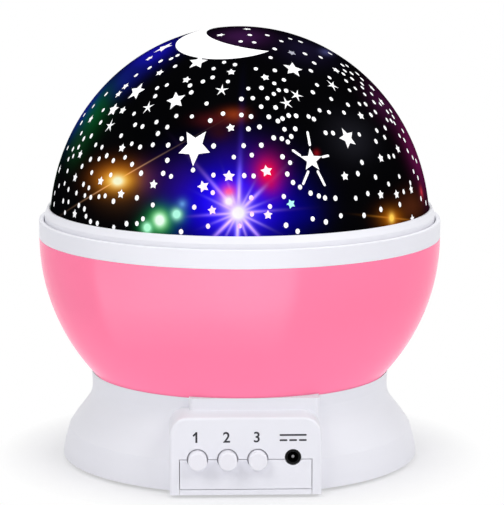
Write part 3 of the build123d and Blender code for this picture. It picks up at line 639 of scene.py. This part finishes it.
def dome_window():
    """Clear plastic with a painted glow for the lamps inside: white, pinker where painted blue light lies
    behind it.
    """
    finish = Finish("dome_window", Specular_IOR_Level=0.2)
    blue = finish.node("ShaderNodeSeparateColor", lamplight(finish)).outputs[2]
    colour = finish.blend(finish.math("MULTIPLY", blue, WINDOW_BLUSH), rgb(252, 252, 253), rgb(255, 172, 226))
    here = finish.lamp_place()
    for px, py, reach, tint in PAINTED_WINDOW_TINTS:
        away = finish.vector("DISTANCE", here, dome_at(px, py))
        share = finish.spread(away, 1.0, 0.0, reach * MM * TINT_EDGE, reach * MM)
        colour = finish.blend(share, colour, rgb(*tint))
    finish.into("Base Color", colour)
    finish.into("Roughness", finish.spread(finish.noise(200, 3), 0.22, 0.34))
    # Painted glow: the windows' emission stands in for the lamps' light coming through
    finish.into("Emission Color", colour)
    finish.into("Emission Strength", finish.spread(finish.noise(40, 2), *WINDOW_PAINTED_GLOW))
    return finish.material


# ---- Studio
def plain_lamp(name, place, size, power):
    """A soft square light aimed at the part."""
    data = bpy.data.lights.new(name, "AREA")
    data.size = size
    data.energy = power
    lamp = add_object(name, data)
    lamp.location = place
    lamp.rotation_euler = (AIM_AT - Vector(place)).to_track_quat("-Z", "Y").to_euler()
    lamp.visible_camera = False


def white_for_view(tree):
    """1 on camera, mirror and glass rays, and 0 on the rest."""
    path = tree.nodes.new("ShaderNodeLightPath")
    seen = path.outputs["Is Camera Ray"]
    for name in ("Is Glossy Ray", "Is Transmission Ray"):
        either = tree.nodes.new("ShaderNodeMath")
        either.operation = "MAXIMUM"
        tree.links.new(seen, either.inputs[0])
        tree.links.new(path.outputs[name], either.inputs[1])
        seen = either.outputs[0]
    return seen


def make_studio():
    """A white surround that lights the part softly, three lamps and a pale floor."""
    world = bpy.data.worlds.new("studio")
    bpy.context.scene.world = world
    world.use_nodes = True
    tree = world.node_tree
    background = tree.nodes["Background"]
    background.inputs["Color"].default_value = (1, 1, 1, 1)
    strength = tree.nodes.new("ShaderNodeMapRange")
    strength.inputs["To Min"].default_value = AMBIENT
    tree.links.new(white_for_view(tree), strength.inputs["Value"])
    tree.links.new(strength.outputs[0], background.inputs["Strength"])
    for name, place, size, power in LAMPS:
        plain_lamp(name, place, size, power)
    bpy.ops.mesh.primitive_grid_add(
        x_subdivisions=FLOOR_CELLS, y_subdivisions=FLOOR_CELLS, size=FLOOR_SIZE,
    )
    floor = bpy.context.object
    floor.name = "floor"
    floor.data.materials.append(floor_paper())


def make_cards():
    """Soft cards lying in front on the left. Each shows in one piece's gloss, and lights nothing."""
    for layer, (node, light) in enumerate(CARDS, 1):
        mesh = bpy.data.meshes.new(f"{node}_card")
        corners = [(x * MM, y * MM, layer * CARD_Z) for x, y in CARD_CORNERS]
        mesh.from_pydata(corners, [], [range(len(corners))])
        finish = Finish(f"{node}_card")
        here = finish.place()
        away = finish.vector("LENGTH", here)
        across = finish.math("DIVIDE", finish.node("ShaderNodeSeparateXYZ", here).outputs[0], away)
        share = finish.spread(across, CARD_LEFT_SHARE, 1.0, *CARD_LEFT_SPAN)
        strength = finish.math("MULTIPLY", finish.spread(away, 0.0, light, *CARD_FADE), share)
        glow = finish.node("ShaderNodeEmission", (1, 1, 1, 1), strength)
        clear = finish.node("ShaderNodeBsdfTransparent")
        both = finish.node("ShaderNodeAddShader", glow.outputs[0], clear.outputs[0])
        finish.feed(finish.output.inputs[0], both.outputs[0])
        mesh.materials.append(finish.material)
        card = add_object(f"{node}_card", mesh)
        card.visible_camera = card.visible_diffuse = card.visible_transmission = card.visible_shadow = False
        shown_by = bpy.data.collections.new(f"{node}_shows_card")
        shown_by.objects.link(nodes[node])
        card.light_linking.receiver_collection = shown_by


def floor_paper():
    """White paper that keeps the part's shadow and turns to its own plain white further out."""
    finish = Finish("floor_paper", Roughness=0.9, Specular_IOR_Level=0.0)
    grain = finish.spread(finish.noise(60, 3), *PAPER_WHITE)
    blue = finish.math("MULTIPLY", grain, PAPER_BLUE)
    finish.into("Base Color", finish.node("ShaderNodeCombineColor", grain, grain, blue).outputs[0])
    white = finish.node("ShaderNodeEmission", (1, 1, 1, 1), 1.0).outputs[0]
    away = finish.vector("LENGTH", finish.place())
    own = finish.spread(away, OWN_WHITE_NEAR, 1.0, SHADOW_R, CLEAR_R)
    amount = finish.math("MULTIPLY", white_for_view(finish.tree), own)
    mixed = finish.node("ShaderNodeMixShader", amount, finish.shader.outputs[0], white)
    finish.feed(finish.output.inputs[0], mixed.outputs[0])
    return finish.material


def wear(node, material):
    """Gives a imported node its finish."""
    nodes[node].data.materials.clear()
    nodes[node].data.materials.append(material)


# ---- Pieces
def new_piece(name, mesh, body, material):
    """A piece of this script's own, riding on a body and in a material slot."""
    piece = add_object(name, mesh)
    mesh.materials.append(material)
    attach(piece, body)


def finished(mesh, name):
    """What was built up, as a mesh for an object."""
    made = bpy.data.meshes.new(name)
    mesh.to_mesh(made)
    mesh.free()
    return made


def add_window(mesh, points, faces, rim):
    """A clear window through the dome's wall: points on its outside, its faces and its rim in order."""
    top = [mesh.verts.new(onto_dome(point, WINDOW_PROUD)) for point in points]
    low = [mesh.verts.new(onto_dome(point, -DOME_WALL - WINDOW_PROUD)) for point in points]
    for face in faces:
        mesh.faces.new([top[i] for i in face])
        mesh.faces.new([low[i] for i in reversed(face)])
    for here, there in zip(rim, rim[1:] + rim[:1]):
        mesh.faces.new((top[there], top[here], low[here], low[there]))


def add_disc_window(mesh, middle, outline, rings=1):
    """A window from an outline around a middle, as (east, north) offsets, filled by rings."""
    east, north, _ = dome_frame(middle)
    count = len(outline)
    points = [middle]
    for ring in range(1, rings + 1):
        share = ring / rings
        points += [middle + (east * u + north * v) * share for u, v in outline]
    faces = [(0, 1 + i, 1 + (i + 1) % count) for i in range(count)]
    for ring in range(1, rings):
        inner, outer = 1 + (ring - 1) * count, 1 + ring * count
        for i in range(count):
            j = (i + 1) % count
            faces.append((inner + i, outer + i, outer + j, inner + j))
    rim = [1 + (rings - 1) * count + i for i in range(count)]
    add_window(mesh, points, faces, rim)


def star_outline(radius, waist, turn, edge_steps=2):
    """A five-pointed star's outline, its first point turned from north, in degrees."""
    corners = []
    for i in range(10):
        reach = radius if i % 2 == 0 else radius * waist
        angle = math.radians(90 + turn + 36 * i)
        corners.append(Vector((reach * math.cos(angle), reach * math.sin(angle))))
    outline = []
    for here, there in zip(corners, corners[1:] + corners[:1]):
        outline += [tuple(here.lerp(there, step / edge_steps)) for step in range(edge_steps)]
    return outline


def add_star(mesh, middle, kind, turn):
    """A star's window."""
    radius, waist, stretch, rings = STAR_SIZES[kind]
    outline = [(u, v * stretch) for u, v in star_outline(radius * MM, waist, turn)]
    add_disc_window(mesh, middle, outline, rings)


def add_dot(mesh, middle, radius, corners=12):
    """A dot's window, a little taller than wide."""
    outline = []
    for i in range(corners):
        angle = 2 * math.pi * i / corners
        outline.append((radius * math.cos(angle), radius * DOT_STRETCH * math.sin(angle)))
    add_disc_window(mesh, middle, outline)


def add_bar(mesh, start, end):
    """A straight bar with round ends between two points of the dome."""
    middle = onto_dome((start + end) / 2)
    east, north, _ = dome_frame(middle)
    along = (end - start) / 2
    half = along.length
    way = Vector((along.dot(east), along.dot(north))).normalized()
    side = Vector((-way.y, way.x))
    outline = []
    for sign in (1, -1):
        for angle in CAP_ANGLES:
            spot = way * sign * (half - RAY_HALF_W + RAY_HALF_W * math.cos(angle))
            outline.append(tuple(spot + side * sign * RAY_HALF_W * math.sin(angle)))
        for share in RAY_SIDE_STOPS:
            outline.append(tuple(way * sign * half * share + side * sign * RAY_HALF_W))
    add_disc_window(mesh, middle, outline)


def add_crescent(mesh, steps=40, rows=8):
    """The crescent by the top: a round disc less a round bite, both seen from above."""
    between = BITE_AT - CRESCENT_AT
    gap = between.length
    along = (gap**2 + CRESCENT_R**2 - BITE_R**2) / (2 * gap)
    tip_angle = math.acos(along / CRESCENT_R)
    bite_tip_angle = math.acos((gap - along) / BITE_R)
    facing = math.atan2(between.y, between.x)
    points = []
    for i in range(steps + 1):
        share = i / steps
        outer = facing + tip_angle + (2 * math.pi - 2 * tip_angle) * share
        inner = facing + math.pi - bite_tip_angle + 2 * bite_tip_angle * share
        far = CRESCENT_AT + CRESCENT_R * Vector((math.cos(outer), math.sin(outer)))
        near = BITE_AT + BITE_R * Vector((math.cos(inner), math.sin(inner)))
        for row in range(rows + 1):
            spot = far.lerp(near, row / rows)
            fall = 1 - (spot.x**2 + spot.y**2) / DOME_R**2
            points.append(Vector((spot.x, spot.y, DOME_FOOT + DOME_H * math.sqrt(fall))))
    # At each tip the row's points are one, so the faces there lose the corners that fall together
    width = rows + 1
    last = steps * width
    tips = {k: 0 for k in range(1, width)} | {last + k: last for k in range(1, width)}
    faces = []
    for i in range(steps):
        for a in range(i * width, i * width + rows):
            corners = (a, a + width, a + width + 1, a + 1)
            faces.append(list(dict.fromkeys(tips.get(k, k) for k in corners)))
    rim = [i * width for i in range(steps + 1)] + [i * width + rows for i in range(steps - 1, 0, -1)]
    used = sorted({k for face in faces for k in face})
    place = {k: n for n, k in enumerate(used)}
    faces = [[place[k] for k in face] for face in faces]
    add_window(mesh, [points[k] for k in used], faces, [place[k] for k in rim])


def in_crescent(point, margin):
    """Whether a point lies in the crescent or nearer to it than the margin."""
    spot = Vector((point.x, point.y))
    return (spot - CRESCENT_AT).length < CRESCENT_R + margin and (spot - BITE_AT).length > BITE_R - margin


def add_numeral(mesh, text, centre_x, low_z, height, face_y):
    """A plain numeral printed on the panel. It is made one unit thick, which becomes MARK_T."""
    curve = bpy.data.curves.new("numeral", "FONT")
    curve.body = text
    curve.extrude = 0.5
    curve.offset = NUMERAL_BOLD
    shape = bpy.data.objects.new("numeral", curve)
    made = bpy.data.meshes.new_from_object(shape)
    bpy.data.objects.remove(shape)
    across = [corner.co.x for corner in made.vertices]
    tall = [corner.co.y for corner in made.vertices]
    scale = height / (max(tall) - min(tall))
    middle = (max(across) + min(across)) / 2
    to_size = Matrix.Diagonal((scale, scale, MARK_T, 1))
    made.transform(to_size @ Matrix.Translation((-middle, -min(tall), 0)))
    place = Vector((centre_x, face_y + MARK_SUNK - MARK_T / 2, low_z))
    made.transform(Matrix.Translation(place) @ Matrix.Rotation(math.pi / 2, 4, "X"))
    mesh.from_mesh(made)
    bpy.data.meshes.remove(made)


def add_stroke(mesh, start, end, face_y):
    """A stroke with round ends printed on the panel, between two (x, z) points."""
    way = (Vector(end) - Vector(start)).normalized()
    side = Vector((-way.y, way.x))
    outline = []
    for tip, sign in ((Vector(end), 1), (Vector(start), -1)):
        for angle in CAP_ANGLES:
            outline.append(tip + sign * SYMBOL_LINE / 2 * (way * math.cos(angle) + side * math.sin(angle)))
    front = [mesh.verts.new((x, face_y + MARK_SUNK - MARK_T, z)) for x, z in outline]
    back = [mesh.verts.new((x, face_y + MARK_SUNK, z)) for x, z in outline]
    mesh.faces.new(front)
    mesh.faces.new(reversed(back))
    for i in range(len(outline)):
        j = (i + 1) % len(outline)
        mesh.faces.new((front[j], front[i], back[i], back[j]))


def panel_marks():
    """Plain numerals over the buttons and the sign for direct current over the inlet."""
    mesh = bmesh.new()
    face_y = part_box("base_shell")[0].y
    for number in (1, 2, 3):
        low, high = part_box(f"button_{number}")
        centre_x = (low.x + high.x) / 2 - NUMERAL_LEFT
        add_numeral(mesh, str(number), centre_x, NUMERAL_Z, NUMERAL_H, face_y)
        if number == 1:
            top = NUMERAL_Z + NUMERAL_H - SYMBOL_LINE / 2
            add_stroke(mesh, (centre_x - FLAG_W, top - FLAG_DROP), (centre_x, top), face_y)
    low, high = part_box("dc_jack")
    left, right = (low.x + high.x - SYMBOL_W) / 2, (low.x + high.x + SYMBOL_W) / 2
    upper, lower = SYMBOL_Z + SYMBOL_GAP / 2, SYMBOL_Z - SYMBOL_GAP / 2
    add_stroke(mesh, (left, upper), (right, upper), face_y)
    dash = SYMBOL_W * SYMBOL_DASH_SHARE
    for i in range(SYMBOL_DASHES):
        begin = left + (SYMBOL_W - dash) * i / (SYMBOL_DASHES - 1)
        add_stroke(mesh, (begin, lower), (begin + dash, lower), face_y)
    bmesh.ops.remove_doubles(mesh, verts=mesh.verts, dist=MARK_WELD)
    bmesh.ops.recalc_face_normals(mesh, faces=mesh.faces)
    return finished(mesh, "panel_marks")


class Sky:
    """Where windows lie on the dome, so that no two meet."""

    def __init__(self):
        self.taken = []

    def free(self, point, reach):
        """Whether a window of this reach can lie at a point."""
        if point.z < RIM_Z + DOT_SPACE + reach or in_crescent(point, reach):
            return False
        return all((point - other).length > reach + other_reach for other, other_reach in self.taken)

    def take(self, point, reach):
        """Keeps a place for a window, and gives the point back."""
        self.taken.append((point, reach))
        return point


def fill_far_side(mesh, sky, rng):
    """Stars and then dots at random on the side turned from the camera."""
    dots = stars = 0
    while dots < FIELD_DOT_TOTAL or stars < FIELD_STAR_TOTAL:
        middle = round_dome(rng.uniform(0, 2 * math.pi), rng.uniform(*FIELD_HEIGHTS))
        if (middle - CAMERA_AT).dot(dome_normal(middle)) < 0:
            continue
        if stars < FIELD_STAR_TOTAL:
            kind = rng.choice(FIELD_KINDS)
            reach = STAR_SIZES[kind][0] * MM
            if sky.free(middle, reach + DOT_R):
                add_star(mesh, sky.take(middle, reach), kind, rng.uniform(0, STAR_TURN))
                stars += 1
        elif sky.free(middle, DOT_SPACE / 2):
            add_dot(mesh, sky.take(middle, DOT_SPACE / 2), DOT_R * rng.uniform(*FIELD_DOT_RANGE))
            dots += 1


def dome_windows():
    """Every clear window in the dome's coat, as one mesh."""
    mesh = bmesh.new()
    sky = Sky()
    add_crescent(mesh)
    for kind, places in STARS.items():
        for px, py, turn in places:
            middle = dome_at(px, py)
            if middle:
                add_star(mesh, sky.take(middle, STAR_SIZES[kind][0] * MM), kind, turn)
    px, py, turn = RAYED_STAR
    middle = sky.take(dome_at(px, py), RAYED_STAR_REACH)
    outline = star_outline(RAYED_STAR_R, RAYED_STAR_WAIST, turn)
    add_disc_window(mesh, middle, outline, RAYED_STAR_RINGS)
    for start, end in RAYS:
        add_bar(mesh, dome_at(*start), dome_at(*end))
    rng = random.Random(SEED)
    for left, top, scale, places in (DOTS_LEFT, DOTS_RIGHT):
        for x, y in places:
            middle = dome_at(left + x / scale, top + y / scale)
            if middle:
                add_dot(mesh, sky.take(middle, DOT_R), DOT_R * rng.uniform(*DOT_RANGE))
    fill_far_side(mesh, sky, rng)
    return finished(mesh, "star_windows")


def printed_ink():
    """Dark grey ink that took unevenly."""
    finish = Finish("printed_ink", Specular_IOR_Level=0.3)
    cover = finish.spread(finish.noise(900, 2), 0, 1)
    finish.into("Base Color", finish.blend(cover, rgb(44, 44, 50), rgb(58, 58, 64)))
    finish.into("Roughness", finish.spread(finish.noise(400, 2), 0.5, 0.65))
    return finish.material


def slot_finishes():
    """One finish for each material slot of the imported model."""
    return {
        "white_plastic": plastic(
            "white_plastic", rgb(241, 241, 247), rgb(239, 239, 245), 0.36, Specular_IOR_Level=0.2,
        ),
        "pink_plastic": bowl_plastic(),
        "dome_black": dome_coat(),
        "button_white": plastic(
            "button_white", rgb(242, 241, 247), rgb(240, 239, 245), 0.3, Specular_IOR_Level=0.35,
        ),
        "rubber": plastic("rubber", rgb(150, 150, 153), rgb(140, 140, 144), 0.7, 0.005 * MM, 1200),
        "screw_steel": metal("screw_steel", rgb(196, 197, 200), 0.32),
        "spring_steel": metal("spring_steel", rgb(208, 209, 212), 0.24, (14, 1, 1)),
        "cell_wrap": plastic("cell_wrap", rgb(34, 84, 156), rgb(28, 74, 142), 0.24),
        "circuit_board": circuit("circuit_board"),
        "black_plastic": plastic(
            "black_plastic", rgb(6, 6, 7), rgb(10, 10, 12), 0.5, Specular_IOR_Level=0.15,
        ),
        "plated_pin": metal("plated_pin", rgb(150, 150, 152), 0.3),
        "acetal": plastic("acetal", rgb(238, 236, 228), rgb(230, 228, 219), 0.4),
        "inner_white": plastic("inner_white", rgb(240, 240, 240), rgb(233, 233, 234), 0.5),
        "led_warm_white": lamp_lens("led_white", rgb(255, 244, 216), rgb(255, 251, 238)),
        "led_red": lamp_lens("led_red", rgb(214, 24, 20), rgb(255, 92, 70)),
        "led_green": lamp_lens("led_green", rgb(16, 168, 62), rgb(110, 255, 150)),
        "led_blue": lamp_lens("led_blue", rgb(18, 46, 226), rgb(110, 150, 255)),
        "cable_grey": plastic("cable_grey", rgb(146, 146, 150), rgb(134, 134, 139), 0.55),
    }


bpy.context.scene.view_settings.view_transform = "Standard"
make_camera()
make_studio()
make_cards()

# The lamps keep still with the base, so the light painted on the dome is placed from here
LAMP_PLACE = add_object("lamp_place", None)
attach(LAMP_PLACE, "base")

finishes = slot_finishes()
for piece in frame["record"]["subparts"]:
    wear(piece["node"], finishes[piece["material_slot"]])
# The photograph shows no pink cast on the white shell
nodes["bowl"].visible_diffuse = False
new_piece("star_windows", dome_windows(), "dome", dome_window())
new_piece("panel_marks", panel_marks(), "base", printed_ink())
